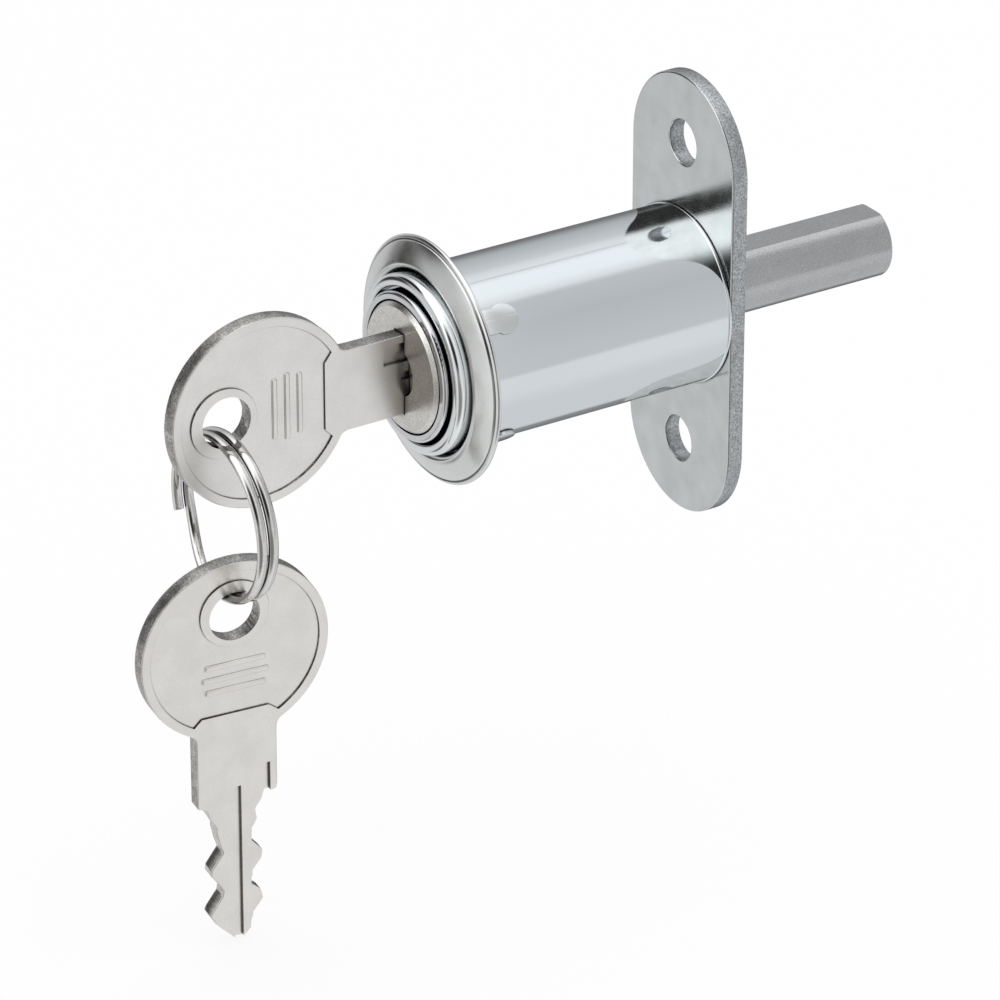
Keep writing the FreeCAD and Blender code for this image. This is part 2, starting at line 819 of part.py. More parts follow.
def least_gap(name, route, length, apart, wire):
    """Print the smallest gap of a wound wire to itself, measured on points."""
    steps = 240
    places = [route(length * count / steps) for count in range(steps + 1)]
    skip = int(steps * apart / length)
    gaps = [(a - b).Length for i, a in enumerate(places) for b in places[i + skip:]]
    print("%s: least gap %.2f mm" % (name, min(gaps) - 2 * wire))


def make_coil(name, base, axis, across, radius, wire, turns, length):
    """Coil spring from base along axis, whose outer ends lie length apart."""
    other = axis.cross(across)
    rise = length - 2 * wire

    def route(turned):
        angle = 2 * math.pi * turned
        round_part = across * (radius * math.cos(angle)) + other * (radius * math.sin(angle))
        return base + axis * (wire + rise * turned / turns) + round_part

    least_gap(name, route, turns, 0.6, wire)
    quarters = int(round(4 * turns))
    return wire_form(name, route, [turns * count / quarters for count in range(quarters + 1)], wire)


X_AXIS = FreeCAD.Vector(1, 0, 0)
Y_AXIS = FreeCAD.Vector(0, 1, 0)
Z_AXIS = FreeCAD.Vector(0, 0, 1)


def make_springs():
    """All coil springs: one round the bolt, one on the latch and one under each wafer's wing."""
    gap = SIZES["spring_end_gap"]
    start = FreeCAD.Vector(0, plunger_rear.value + gap, 0)
    room = -plunger_rear.value - 2 * gap
    turns = max(1, int(room / SIZES["spring_pitch"]))
    made = [make_coil("return_spring", start, Y_AXIS, X_AXIS, SIZES["spring_radius"],
                      SIZES["spring_wire"], turns, room)]
    top = SIZES["latch_top"]
    high = chord(plug_bore, size("latch_spring_radius") + size("latch_spring_wire")).value
    seat = FreeCAD.Vector(0, latch_y.value, top + gap)
    made.append(make_coil("latch_spring", seat, Z_AXIS, X_AXIS, SIZES["latch_spring_radius"],
                          SIZES["latch_spring_wire"], SIZES["small_spring_turns"], high - top - 2 * gap))
    places = [("wafer_spring_%d" % (n + 1), wafer_y(n), wafer_side(n), 0.0)
              for n in range(SIZES["wafer_count"])]
    places.append(("retainer_spring", retainer_y, 1, SIZES["wafer_travel"]))
    for name, along, side, lift in places:
        foot = FreeCAD.Vector(small_spring_x.value * side, along.value, (spring_seat.value + gap) * side)
        length = SIZES["small_spring_length"] - 2 * gap + lift
        made.append(make_coil(name, foot, Z_AXIS * side, X_AXIS, SIZES["small_spring_radius"],
                              SIZES["small_spring_wire"], SIZES["small_spring_turns"], length))
    return made


# Keys and their ring
def blade_outline():
    """Outline of neck and blade from the bow's middle, with flats at each cut and slopes between."""
    shift = size("ring_hole_offset")
    half_flat = size("cut_flat") / 2
    neck = size("neck_end") + shift
    corner = size("neck_corner")
    points = [(shift, -size("neck_low"))]
    points.append((neck - corner, -size("neck_low")))
    points.append((neck, corner - size("neck_low")))
    points.append((neck, -widest(LOW_CUTS, "low")))
    for count in range(len(LOW_CUTS)):
        middle = shift + size("first_cut") + size("cut_pitch") * count
        height = -size("low_cut_%s" % "abcdef"[count])
        points.append((middle - half_flat, height))
        points.append((middle + half_flat, height))
    tip = shift + size("key_length")
    points.append((tip, -size("tip_half")))
    points.append((tip, size("tip_half")))
    for count in reversed(range(len(HIGH_CUTS))):
        middle = shift + size("first_cut") - size("high_cut_shift") + size("cut_pitch") * count
        height = size("high_cut_%s" % "abcdef"[count])
        points.append((middle + half_flat, height))
        points.append((middle - half_flat, height))
    points.append((neck, size("tab_notch")))
    points.append((neck, size("neck_high") - corner))
    points.append((neck - corner, size("neck_high")))
    points.append((shift, size("neck_high")))
    return points


def make_key(name):
    """Flat key with a round bow; its own origin is the middle of the ring hole."""
    body = new_body(name)
    shift = size("ring_hole_offset")
    thickness = size("key_thickness")
    bow = size("bow_radius")
    bow_sketch = new_sketch(body, "YZ_Plane")
    draw_circle(bow_sketch, shift, 0, bow)
    pad(body, bow_sketch, thickness, both=True)
    round_edges(body, size("bow_edge_round"), lambda edge: abs(edge.BoundBox.XLength) < TINY)
    blade = new_sketch(body, "YZ_Plane")
    draw_loop(blade, blade_outline())
    pad(body, blade, thickness, both=True)
    hole = new_sketch(body, "YZ_Plane")
    draw_circle(hole, 0, 0, size("ring_hole_radius"))
    pocket(body, hole, thickness * 2, both=True)
    field = bow - size("bow_rim")
    rim = size("bow_rim")
    step_y = shift + size("bow_step")
    low = size("bow_step_low")
    high = size("bow_step_high")
    for face in (-1, 1):
        recess = new_sketch(body, "YZ_Plane", half_key * face)
        draw_loop(recess, [
            (shift + chord(field, low + rim), -low - rim, field, -2),
            (step_y, -low),
            (step_y, high),
            (shift + chord(field, high + rim), high + rim),
        ])
        draw_circle(recess, -size("boss_shift"), 0, size("boss_radius"))
        pocket(body, recess, size("bow_recess"), back=(face < 0))
    tip = shift + size("key_length") + CUT_PAST
    grooves = (
        (size("side_groove_start"), size("side_groove_low"), size("side_groove_high")),
        (size("centre_groove_start"), -size("centre_groove_low"), size("centre_groove_high")),
    )
    for start, bottom, top in grooves:
        groove = new_sketch(body, "YZ_Plane", half_key)
        draw_loop(groove, box_points(shift + start, tip, bottom, top))
        pocket(body, groove, size("side_groove_depth"))
    return body


half_pair = size("ring_wire") + size("ring_wire_gap") / 2
hole_room = size("ring_hole_radius") - size("ring_wire") - size("ring_hole_gap")
ring_seat = chord(hole_room, half_pair)
ring_z = blade_z - ring_seat - size("ring_mean_radius")


def make_ring():
    """Split ring: one wire that winds nearly twice and crosses over between its ends."""
    centre = FreeCAD.Vector(0, key_hole_y.value, ring_z.value)
    radius = SIZES["ring_mean_radius"]
    crossing = SIZES["ring_cross_angle"]
    start = SIZES["ring_start_angle"]
    side = half_pair.value
    single = FULL_TURN - crossing
    total = FULL_TURN + single

    def route(turned):
        angle = math.radians(start - turned)
        share = min(max((turned - single) / crossing, 0.0), 1.0)
        along = side * (2 * share * share * (3 - 2 * share) - 1)
        return centre + FreeCAD.Vector(radius * math.cos(angle), along, radius * math.sin(angle))

    least_gap("key_ring", route, total, FULL_TURN / 2, SIZES["ring_wire"])
    thirds = [single * count / 3 for count in range(4)]
    stops = thirds + [single + crossing / 2] + [FULL_TURN + stop for stop in thirds]
    return wire_form("key_ring", route, stops, SIZES["ring_wire"])


def hang_spare(body):
    """Hang the second key on the ring's lower part, turned as it hangs in use."""
    across = size("spare_offset")
    highest = chord(size("ring_mean_radius"), across + half_key)
    bind(body, "Placement.Base.x", across)
    bind(body, "Placement.Base.y", key_hole_y)
    bind(body, "Placement.Base.z", ring_z - highest - ring_seat)
    angles = (SIZES["spare_yaw"], SIZES["spare_pitch"], SIZES["spare_roll"])
    body.Placement.Rotation = FreeCAD.Rotation(*angles)


def make_all():
    """Make every piece and return the objects by their labels."""
    nodes = [make_tube(), make_plate(), make_rosette(), make_plunger(), make_bolt(), make_pin(),
             make_plug(), make_latch()]
    for count in range(SIZES["wafer_count"]):
        nodes.append(make_wafer("wafer_%d" % (count + 1), wafer_y(count), wafer_side(count), True, 0))
    nodes.append(make_wafer("plug_retainer", retainer_y, 1, False, size("wafer_travel")))
    nodes += make_springs()
    key = make_key("key")
    bind(key, "Placement.Base.y", key_hole_y)
    bind(key, "Placement.Base.z", blade_z)
    spare = make_key("spare_key")
    hang_spare(spare)
    nodes += [key, spare, make_ring()]
    return nodes


nodes = make_all()
doc.recompute()
for thing in doc.Objects:
    if "Invalid" in thing.State or "Error" in thing.State:
        raise RuntimeError("%s is not right: %s" % (thing.Label, thing.State))
for node in nodes:
    if node.Shape.isNull() or not node.Shape.isValid() or len(node.Shape.Solids) != 1:
        raise RuntimeError("%s has no single valid solid" % node.Label)
os.makedirs("parts", exist_ok=True)
for node in nodes:
    node.Shape.exportStep("parts/%s.step" % node.Label)
print("%d nodes written" % len(nodes))
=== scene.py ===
import json
import math

import bpy
from mathutils import Euler, Matrix, Vector


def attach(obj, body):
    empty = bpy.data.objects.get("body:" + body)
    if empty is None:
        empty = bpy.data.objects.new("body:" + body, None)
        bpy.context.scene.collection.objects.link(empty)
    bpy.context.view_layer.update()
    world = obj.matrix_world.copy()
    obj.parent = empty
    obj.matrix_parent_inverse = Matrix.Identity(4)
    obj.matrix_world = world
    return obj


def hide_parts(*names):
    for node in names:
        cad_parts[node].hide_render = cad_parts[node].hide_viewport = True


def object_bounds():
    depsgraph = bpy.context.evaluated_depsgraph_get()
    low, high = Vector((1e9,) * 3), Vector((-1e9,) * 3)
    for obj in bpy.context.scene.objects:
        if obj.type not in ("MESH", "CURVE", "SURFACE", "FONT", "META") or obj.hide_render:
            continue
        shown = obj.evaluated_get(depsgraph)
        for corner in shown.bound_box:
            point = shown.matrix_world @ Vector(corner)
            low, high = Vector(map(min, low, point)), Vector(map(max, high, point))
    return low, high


# The looks of a push-in furniture lock with its two keys on a split ring.
# Sizes are written in millimetres, as on the drawing, and are brought to metres by MM.
MM = 0.001

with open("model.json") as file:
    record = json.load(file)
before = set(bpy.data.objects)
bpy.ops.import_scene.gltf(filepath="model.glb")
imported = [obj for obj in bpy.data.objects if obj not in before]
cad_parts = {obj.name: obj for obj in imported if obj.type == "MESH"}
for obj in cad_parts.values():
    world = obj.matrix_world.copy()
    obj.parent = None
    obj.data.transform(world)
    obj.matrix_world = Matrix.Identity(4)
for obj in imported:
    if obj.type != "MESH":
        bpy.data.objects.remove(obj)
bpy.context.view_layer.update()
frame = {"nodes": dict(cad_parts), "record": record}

# Tube: radii about the lock's axis, and places along it from the plate's front face
TUBE_RADIUS = 9.8
TUBE_BORE_RADIUS = 8.9
TUBE_MOUTH_RADIUS = 8.56
TUBE_FRONT = -34.0
TUBE_LIP_BACK = -31.2
TUBE_LIP_ROUND = 0.75
TUBE_MOUTH_ROUND = 0.2
BEAD_RADIUS = 9.9
BEAD_FOOT = (-0.42, -0.05)
BEAD_CREST = (-0.34, -0.12)
BEAD_ROUND = 0.05
WINDOW_MIDDLES = (-11.8, -21.8)
WINDOW_HALF_WIDTH = 3.25
WINDOW_HALF_LENGTH = 1.45
WINDOW_LEVELS = (-11.0, -6.0)

# Stakes of the tube, which stand through two slots in the plate, above and below the axis
STAKE_HALF_WIDTH = 2.5
STAKE_HEIGHTS = (8.95, 9.45)
STAKE_FOOT = -0.02
STAKE_END = 2.15
STAKE_EDGE = 0.08
SLOT_HALF_WIDTH = 2.55
SLOT_HEIGHTS = (8.9, 9.5)

# Plate
PLATE_HALF_WIDTH = 9.55
PLATE_FOOT = -25.6
PLATE_TOP = 25.0
PLATE_THICKNESS = 1.9
PLATE_EDGE_ROUND = 0.2
SCREW_HOLE_HEIGHT = 17.4
SCREW_HOLE_RADIUS = 2.5
BOLT_HOLE_RADIUS = 4.05
BOLT_HOLE_FLAT = 3.65

# Cutters for the plate, from before its front face to behind its back face
HOLE_CUT = (-3, 5)
SLOT_CUT = (-1, 3)
FLAT_CUT = (-6, 8)
FLAT_CUT_REACH = 6

# Rosette: corners as (radius, place along the axis, rounding), from the collar out to the rim and back
COLLAR_INNER = 9.87
COLLAR_OUTER = 10.17
COLLAR_BACK = -30.8
ROSETTE_LIP = [(COLLAR_INNER, COLLAR_BACK, 0), (COLLAR_INNER, -31.9, 0.1), (10.2, -32.5, 0.15),
               (10.5, -32.72, 0.2), (10.95, -32.62, 0.2)]
ROSETTE_DISH = [(11.9, -32.2, 0.5), (12.9, -31.67, 0.06)]
ROSETTE_RIM = [(13.0, -31.40, 0.06), (13.16, -31.56, 0.08), (13.42, -31.40, 0.1),
               (13.5, -31.22, 0.08), (13.42, -31.0, 0.08), (13.25, -30.98, 0.06)]
ROSETTE_BACK = [(12.7, -31.42, 0.4), (11.8, -31.9, 0.5), (10.9, -32.28, 0.3),
                (COLLAR_OUTER, -32.0, 0.3), (COLLAR_OUTER, COLLAR_BACK, 0)]
TAB_COUNT = 4
TAB_FIRST_ANGLE = 48
TAB_FOOT = -31.0
TAB_SHOULDER = -30.8
TAB_FOOT_HALF = 2.3
TAB_FILLET = 0.95
TAB_END_MIDDLE = -27.0
TAB_END_RADIUS = 1.65
TAB_END_START = -125
TAB_EDGE = 0.06
TAB_BLANK_THICKNESS = 3.0
TAB_BLANK_MIDDLE = 9.6
TAB_SHELL_FRONT = -32
TAB_SHELL_BACK = -24
ROSETTE_STEPS = 192

# Keys: places along the key from the bow's middle, and across it
KEY_THICKNESS = 1.85
KEY_OUTER_EDGE = 0.15
KEY_INNER_EDGE = 0.06
BOW_RADIUS = 10.6
BOW_NECK_HALF = 4.95
BOW_RIM = 1.0
FIELD_CORNER_HALF = 4.8
FIELD_END = ((7.45, -3.9), (7.45, 3.7))
FIELD_CUT = 0.4
RING_HOLE_RADIUS = 2.85
RING_HOLE_OFFSET = 4.25
BOSS_RADIUS = 3.85
BOSS_SHIFT = 0.3
NECK_LOW = ((9.75, -4.72), (10.2, -4.61), (11.0, -4.6))
NECK_HIGH = ((11.0, 4.55), (10.2, 4.58), (9.75, 4.7))
BLADE_LOW = ((18.41, -4.59), (18.70, -3.71), (19.13, -3.55), (19.70, -3.38), (20.33, -3.00),
             (21.32, -2.54), (21.80, -2.55), (23.32, -2.22), (24.55, -1.84), (26.49, -3.20),
             (27.16, -3.26), (28.61, -2.22), (29.38, -1.88), (30.03, -1.99), (31.73, -3.21),
             (32.25, -3.44), (33.30, -2.84), (34.08, -2.15), (35.31, -0.92), (35.55, -0.74),
             (35.71, 0.32))
BLADE_HIGH = ((34.84, 1.23), (33.69, 1.33), (31.67, 2.87), (30.53, 2.63), (29.42, 1.44),
              (28.44, 1.41), (28.01, 1.60), (26.49, 2.77), (25.55, 2.87), (23.92, 1.52),
              (22.85, 1.49), (22.15, 1.95), (21.47, 2.31), (20.36, 2.11), (20.01, 2.24),
              (19.13, 2.87), (18.15, 3.15), (18.00, 3.33), (18.10, 3.86), (18.00, 4.39),
              (17.39, 4.55))
CUT_START = 17.4
KEY_HOLE_STEPS = 96
BOSS_CUT_LENGTH = 4
RING_HOLE_CUT_LENGTH = 6

# Grooves in one side of the key: where each starts along it, and its two sides across it
GROOVES = {"side_groove": (14.5, 1.5, 3.75), "middle_groove": (16.6, -0.6, 0.38)}
GROOVE_DEPTH = 0.45
GROOVE_CUT_SPARE = 1
GROOVE_CUT_END = 40

# Grip ribs, across both fields of the bow
RIB_COUNT = 3
RIB_FIRST = 1.5
RIB_SPACING = 1.5
RIB_HALF_WIDTH = 0.34
RIB_HALF_LENGTH = 3.8
RIB_STEP = 0.35
RIB_SUNK = 0.25
RIB_HALF_HEIGHT = 0.2
RIB_ROUND = 0.19

# Where the keys hang: ring hole's middle in the lock's frame, and the spare's yaw, pitch and roll
RING_PLACE = -56.35
KEY_HOLE = (0, RING_PLACE, -0.35)
SPARE_HOLE = (0.95, RING_PLACE, -22.252)
SPARE_ANGLES = (-6.7, 2.3, -89.2)

# Split ring: one flattened wire, with the angles in degrees
RING_RADIUS = 8.9
RING_MIDDLE = (0, RING_PLACE, -11.401)
RING_START = 198.0
RING_CROSSING = 64.0
RING_HALF_APART = 0.66
WIRE_HALF_SIZES = (0.42, 0.58, 1)
WIRE_SIDES = 24
WIRE_STEPS = 220
WIRE_EDGE = 0.08

# transform.rotate turns the opposite way to Matrix.Rotation
TURN_SENSE = -1

# A face lies flat across an axis when its normal leans this far to it, and is a side below the other
FLAT_LEAN = 0.9995
SIDE_LEAN = 0.4


# Work at the bench: short names for what is done to every piece
def clear():
    """Leave edit mode and select nothing."""
    if bpy.context.mode != "OBJECT":
        bpy.ops.object.mode_set(mode="OBJECT")
    bpy.ops.object.select_all(action="DESELECT")


def pick(piece):
    """Select one piece alone and make it the active one."""
    clear()
    piece.select_set(True)
    bpy.context.view_layer.objects.active = piece


def edit_all():
    """Go to edit mode with the whole mesh selected."""
    bpy.ops.object.mode_set(mode="EDIT")
    bpy.ops.mesh.select_all(action="SELECT")


def settle(piece):
    """Bring the piece's place into its mesh and turn its faces outwards."""
    pick(piece)
    bpy.ops.object.transform_apply(location=True, rotation=True, scale=True)
    edit_all()
    bpy.ops.mesh.remove_doubles(threshold=1e-6)
    bpy.ops.mesh.normals_make_consistent(inside=False)
    clear()


def pull(along):
    """Extrude what is selected by a move in metres."""
    bpy.ops.mesh.extrude_region_move(TRANSFORM_OT_translate={"value": along})


def fill():
    """Close the whole outline with one face, and select it all again."""
    bpy.ops.mesh.select_all(action="SELECT")
    bpy.ops.mesh.edge_face_add()
    bpy.ops.mesh.select_all(action="SELECT")


def hoop(name, radius, place, turn, steps):
    """An open circle of edges, facing along the lock, as the start of a piece."""
    clear()
    bpy.ops.mesh.primitive_circle_add(vertices=steps, radius=radius * MM, fill_type="NOTHING",
                                      location=(0, place * MM, 0), rotation=(math.pi / 2, turn, 0))
    piece = bpy.context.active_object
    piece.name = name
    bpy.ops.object.transform_apply(location=True, rotation=True, scale=True)
    return piece


def turned(name, profile, steps=160):
    """A piece turned about the lock's axis, ring by ring, from (radius, place along) pairs."""
    radius, along = profile[0]
    piece = hoop(name, radius, along, 0, steps)
    edit_all()
    for next_radius, next_along in profile[1:] + profile[:1]:
        pull((0, (next_along - along) * MM, 0))
        share = next_radius / radius
        bpy.ops.transform.resize(value=(share, 1, share), center_override=(0, next_along * MM, 0))
        radius, along = next_radius, next_along
    settle(piece)
    return piece


def eased(corners, steps=6):
    """A closed profile whose corners (across, along, ease) are rounded over the length ease."""
    points = []
    for index, (across, along, ease) in enumerate(corners):
        corner = Vector((across, along))
        if ease == 0:
            points.append(tuple(corner))
            continue
        before = Vector(corners[index - 1][:2]) - corner
        after = Vector(corners[(index + 1) % len(corners)][:2]) - corner
        start = corner + before.normalized() * ease
        finish = corner + after.normalized() * ease
        for step in range(steps + 1):
            share = step / steps
            bend = start * (1 - share) ** 2 + corner * (2 * share * (1 - share)) + finish * share ** 2
            points.append(tuple(bend))
    return points


def traced(name, outline, thickness, middle=0.0):
    """A flat piece traced point by point in the YZ plane, then given its thickness along X."""
    clear()
    bpy.ops.mesh.primitive_plane_add(size=MM, location=(0, 0, 0))
    piece = bpy.context.active_object
    piece.name = name
    edit_all()
    bpy.ops.mesh.merge(type="CENTER")
    bpy.ops.mesh.select_all(action="SELECT")
    last_along, last_across = outline[0]
    left = middle - thickness / 2
    bpy.ops.transform.translate(value=(left * MM, last_along * MM, last_across * MM))
    for along, across in outline[1:]:
        pull((0, (along - last_along) * MM, (across - last_across) * MM))
        last_along, last_across = along, across
    fill()
    pull((thickness * MM, 0, 0))
    settle(piece)
    return piece


def rod(name, radius, length, place, turn, steps=64):
    """A plain round bar, used as a cutter."""
    clear()
    bpy.ops.mesh.primitive_cylinder_add(vertices=steps, radius=radius * MM, depth=length * MM,
                                        location=[value * MM for value in place], rotation=turn)
    piece = bpy.context.active_object
    piece.name = name
    bpy.ops.object.transform_apply(location=True, rotation=True, scale=True)
    return piece


def block(name, low, high):
    """A plain block between two corners, used as a cutter or a start."""
    clear()
    middle = [(a + b) / 2 * MM for a, b in zip(low, high)]
    bpy.ops.mesh.primitive_cube_add(size=1, location=middle)
    piece = bpy.context.active_object
    piece.name = name
    piece.scale = [(b - a) * MM for a, b in zip(low, high)]
    bpy.ops.object.transform_apply(location=True, rotation=True, scale=True)
    return piece


def finish_with(piece, kind, **values):
    """Put one modifier on a piece and apply it."""
    pick(piece)
    modifier = piece.modifiers.new(kind.lower(), kind)
    for key, value in values.items():
        setattr(modifier, key, value)
    bpy.ops.object.modifier_apply(modifier=modifier.name)


def cut(piece, cutter, way="DIFFERENCE"):
    """Cut the piece with another, which is used up."""
    finish_with(piece, "BOOLEAN", object=cutter, operation=way, solver="EXACT")
    bpy.data.objects.remove(cutter)


def ease_edges(piece, width, segments=2, angle=30):
    """Break the sharp edges."""
    finish_with(piece, "BEVEL", width=width * MM, segments=segments, limit_method="ANGLE",
                angle_limit=math.radians(angle), use_clamp_overlap=True)


def smooth(piece, angle=35, flat_axis=None):
    """Shade smoothly, but keep the sharp edges and the flat sides across one axis."""
    pick(piece)
    bpy.ops.object.shade_smooth_by_angle(angle=math.radians(angle))
    if flat_axis is not None:
        for polygon in piece.data.polygons:
            if abs(polygon.normal[flat_axis]) > FLAT_LEAN:
                polygon.use_smooth = False
    clear()


def joined(*pieces):
    """Join several pieces to the first."""
    pick(pieces[0])
    for piece in pieces[1:]:
        piece.select_set(True)
    bpy.ops.object.join()
    return pieces[0]


def dress(piece, *materials):
    """Give the piece its materials, in the order of its slots."""
    piece.data.materials.clear()
    for material in materials:
        piece.data.materials.append(material)


def rough_sides(piece, flat_axis):
    """Put the second material on the sides, which look well away from one axis."""
    for polygon in piece.data.polygons:
        if abs(polygon.normal[flat_axis]) < SIDE_LEAN:
            polygon.material_index = 1


# Nodes that finishes and room share
def spread(tree, value, low, high, start, end, kind="LINEAR"):
    """Carry a value that goes from start to end to one that goes from low to high."""
    node = tree.nodes.new("ShaderNodeMapRange")
    node.interpolation_type = kind
    node.inputs["From Min"].default_value = start
    node.inputs["From Max"].default_value = end
    node.inputs["To Min"].default_value = low
    node.inputs["To Max"].default_value = high
    tree.links.new(value, node.inputs["Value"])
    return node.outputs["Result"]


def blend(tree, share, below, above):
    """Mix two colours by a share, each of them a plain colour or another node's."""
    node = tree.nodes.new("ShaderNodeMix")
    node.data_type = "RGBA"
    tree.links.new(share, node.inputs["Factor"])
    for socket, colour in ((node.inputs["A"], below), (node.inputs["B"], above)):
        if isinstance(colour, tuple):
            socket.default_value = (*colour, 1)
        else:
            tree.links.new(colour, socket)
    return node.outputs["Result"]


def shaded(colour, share):
    """A colour made darker by a share."""
    return tuple(value * share for value in colour)


# Finishes
NOISE_LOW = 0.3
NOISE_HIGH = 0.7
SPECKLE_DETAIL = 3.0
PATCH_DETAIL = 2.0
POLISH_DETAIL = 3.0
GRAIN_DETAIL = 4.0
GRAIN_HEIGHT = 0.02
# Painted shade: ambient occlusion darkens the colour near corners, in creases and in the gaps between
# parts
PAINTED_SHADE_SAMPLES = 8
PAINTED_SHADE_FULL = 0.35
PAINTED_SHADE_GONE = 0.85
PAINTED_SHADE_DARKEST = 0.06


def metal(name, colour, roughness, grain=0.0, grain_size=0.15, speckle=0.0, speckle_size=0.3,
          patch=0.0, patch_size=4.0, stretch=(1, 1, 1), polish_noise=0.0, painted_shade_reach=0.5, pit=0.3):
    """Plated or ground metal with speckles, soft patches or both, its sizes in millimetres.

    They darken the colour towards the share pit of it. Grain roughens the surface, polish_noise
    dulls it here and there, and painted shade darkens the colour near corners, creases and gaps, as far
    out from them as the given reach.
    """
    material = bpy.data.materials.new(name)
    material.use_nodes = True
    tree = material.node_tree
    shader = tree.nodes["Principled BSDF"]
    shader.inputs["Metallic"].default_value = 1.0
    shader.inputs["Base Color"].default_value = (*colour, 1)
    shader.inputs["Roughness"].default_value = roughness
    place = tree.nodes.new("ShaderNodeTexCoord")
    stretched = tree.nodes.new("ShaderNodeMapping")
    stretched.inputs["Scale"].default_value = [share / MM for share in stretch]
    tree.links.new(place.outputs["Object"], stretched.inputs["Vector"])

    def noise(size, detail):
        texture = tree.nodes.new("ShaderNodeTexNoise")
        texture.inputs["Scale"].default_value = 1 / size
        texture.inputs["Detail"].default_value = detail
        tree.links.new(stretched.outputs["Vector"], texture.inputs["Vector"])
        return texture.outputs["Fac"]

    def uneven(size, detail, low, high):
        return spread(tree, noise(size, detail), low, high, NOISE_LOW, NOISE_HIGH)

    marks = []
    if speckle:
        marks.append(uneven(speckle_size, SPECKLE_DETAIL, 1 - speckle, 1.0))
    if patch:
        marks.append(uneven(patch_size, PATCH_DETAIL, 1 - patch, 1.0))
    bright = marks[0]
    if len(marks) > 1:
        product = tree.nodes.new("ShaderNodeMath")
        product.operation = "MULTIPLY"
        tree.links.new(marks[0], product.inputs[0])
        tree.links.new(marks[1], product.inputs[1])
        bright = product.outputs[0]
    worn = blend(tree, bright, shaded(colour, pit), colour)
    # Painted shade: the colour darkens towards a small share of itself near corners and in gaps, found by
    # ambient occlusion
    corner = tree.nodes.new("ShaderNodeAmbientOcclusion")
    corner.samples = PAINTED_SHADE_SAMPLES
    corner.inputs["Distance"].default_value = painted_shade_reach * MM
    unshaded_share = spread(tree, corner.outputs["AO"], 0.0, 1.0, PAINTED_SHADE_FULL, PAINTED_SHADE_GONE)
    tree.links.new(blend(tree, unshaded_share, shaded(colour, PAINTED_SHADE_DARKEST), worn), shader.inputs["Base Color"])
    if polish_noise:
        dull = uneven(patch_size, POLISH_DETAIL, roughness, roughness + polish_noise)
        tree.links.new(dull, shader.inputs["Roughness"])
    if grain:
        bump = tree.nodes.new("ShaderNodeBump")
        bump.inputs["Strength"].default_value = grain
        bump.inputs["Distance"].default_value = GRAIN_HEIGHT * MM
        tree.links.new(noise(grain_size, GRAIN_DETAIL), bump.inputs["Height"])
        tree.links.new(bump.outputs["Normal"], shader.inputs["Normal"])
    return material


# Where a finish gives a reach, it is how far from corners and gaps painted shade darkens its colour, in
# millimetres
TUBE_CHROME = metal("tube_chrome", (0.82, 0.85, 0.86), 0.05, grain=0.05, grain_size=0.5,
                    patch=0.06, patch_size=6.0, stretch=(1, 0.15, 1), polish_noise=0.05, painted_shade_reach=0.12)
RING_CHROME = metal("ring_chrome", (0.70, 0.71, 0.73), 0.08, grain=0.06, grain_size=0.3,
                    patch=0.05, patch_size=1.5, polish_noise=0.06, painted_shade_reach=0.8)
ROSETTE_NICKEL = metal("rosette_nickel", (0.82, 0.83, 0.82), 0.16, grain=0.2, grain_size=0.12,
                       speckle=0.06, speckle_size=0.12, patch=0.12, patch_size=3.0, polish_noise=0.1)
PLATE_ZINC = metal("plate_zinc", (0.75, 0.78, 0.78), 0.12, grain=0.3, grain_size=0.14,
                   speckle=0.16, speckle_size=0.14, patch=0.22, patch_size=3.5, polish_noise=0.08)
PLATE_EDGE = metal("plate_edge", (0.66, 0.68, 0.69), 0.32, grain=1.0, grain_size=0.16,
                   speckle=0.9, speckle_size=0.2, patch=0.2, patch_size=2.0)
ROD_NICKEL = metal("rod_nickel", (0.62, 0.61, 0.60), 0.09, grain=1.0, grain_size=0.2,
                   speckle=0.35, speckle_size=0.16, patch=0.1, patch_size=3.0)
PLUG_NICKEL = metal("plug_nickel", (0.93, 0.91, 0.87), 0.28, grain=0.8, grain_size=0.14,
                    speckle=0.5, speckle_size=0.16, patch=0.15, patch_size=2.5, painted_shade_reach=1.6)
KEY_NICKEL = metal("key_nickel", (0.91, 0.88, 0.845), 0.3, grain=0.35, grain_size=0.14,
                   speckle=0.1, speckle_size=0.16, patch=0.1, patch_size=3.0, painted_shade_reach=0.32)
KEY_SHEAR = metal("key_shear", (0.86, 0.83, 0.80), 0.34, grain=1.0, grain_size=0.18,
                  speckle=0.85, speckle_size=0.2, patch=0.5, patch_size=1.2, pit=0.12)
KEY_CUT = metal("key_cut", (0.86, 0.83, 0.80), 0.22, grain=0.6, grain_size=0.2,
                speckle=0.45, speckle_size=0.3, patch=0.3, patch_size=1.2, stretch=(0.3, 1, 1))
WIRE_STEEL = metal("wire_steel", (0.76, 0.75, 0.73), 0.06, grain=0.15, grain_size=0.25,
                   speckle=0.15, speckle_size=0.3, painted_shade_reach=1.0, pit=0.15)
PLAIN_STEEL = metal("plain_steel", (0.55, 0.55, 0.56), 0.35, grain=0.4, speckle=0.2)
WAFER_BRASS = metal("wafer_brass", (0.78, 0.62, 0.34), 0.3, grain=0.3, speckle=0.2)
SPRING_STEEL = metal("spring_steel", (0.50, 0.51, 0.53), 0.28, grain=0.2, speckle=0.15)

